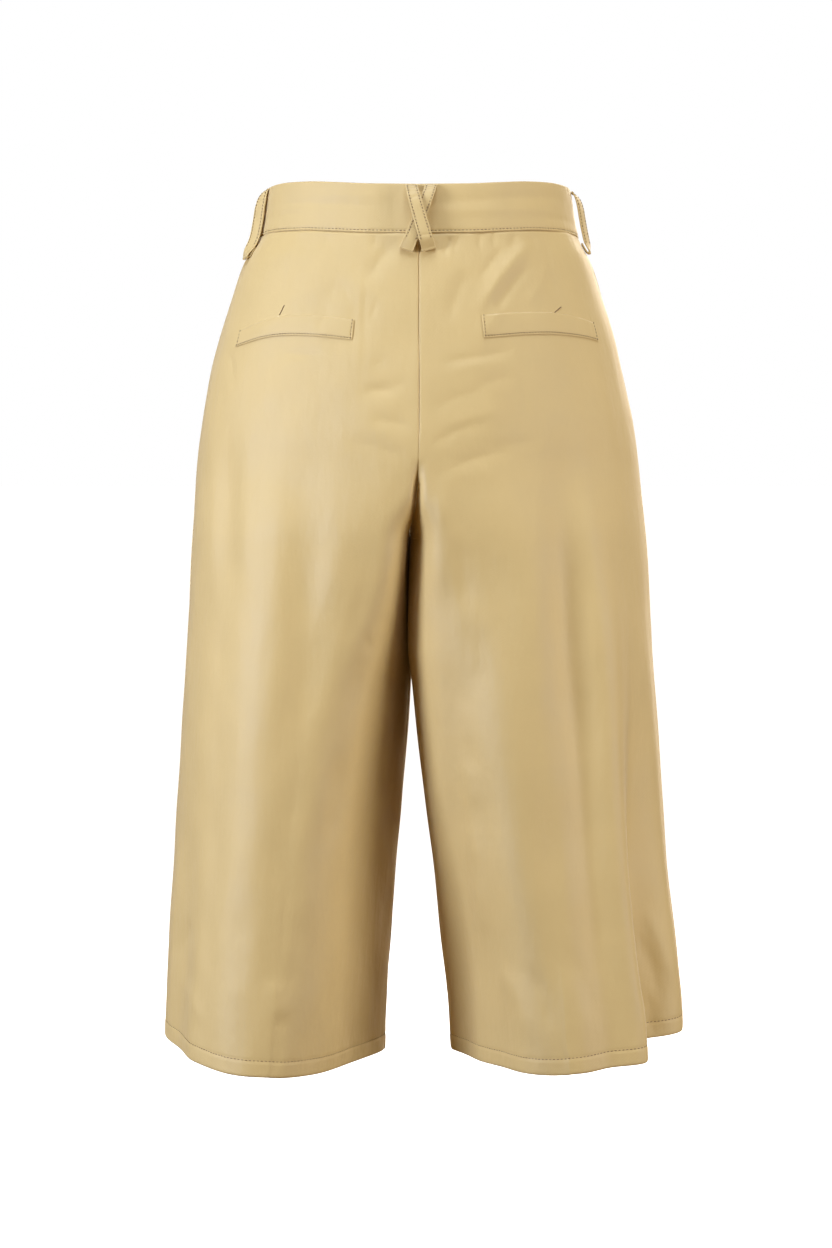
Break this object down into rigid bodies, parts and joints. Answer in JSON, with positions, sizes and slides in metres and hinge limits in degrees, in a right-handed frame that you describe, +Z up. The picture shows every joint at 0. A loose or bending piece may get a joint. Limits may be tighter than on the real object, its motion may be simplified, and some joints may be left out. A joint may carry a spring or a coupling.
{
  "type": "bermuda shorts",
  "caption": "Wide-legged, high-waisted long bermuda shorts in smooth cotton, hollow as worn, with welt back pockets and crossed belt loops.",
  "frame": {"origin": "middle of the waist, halfway up the waistband, where the wearer's waist holds the shorts", "axes": "+Z up, +Y towards the shorts' back, +X towards the wearer's left"},
  "size_m": [0.4444, 0.2597, 0.7356],
  "materials": {
    "cotton": "smooth khaki cotton twill with a slight sheen",
    "zip": "woven zip tape in the cloth's colour",
    "button": "horn-coloured polished resin"
  },
  "bodies": {
    "root": {"back_left": "cotton", "back_right": "cotton", "front_left": "cotton", "front_right": "cotton", "waistband": "cotton", "welt_left": "cotton", "welt_right": "cotton", "loop_back_under": "cotton", "loop_back_over": "cotton", "loop_side_left": "cotton", "loop_side_right": "cotton", "loop_front_left": "cotton", "loop_front_right": "cotton", "fly_zip": "zip", "waist_button": "button"}
  },
  "joints": []
}
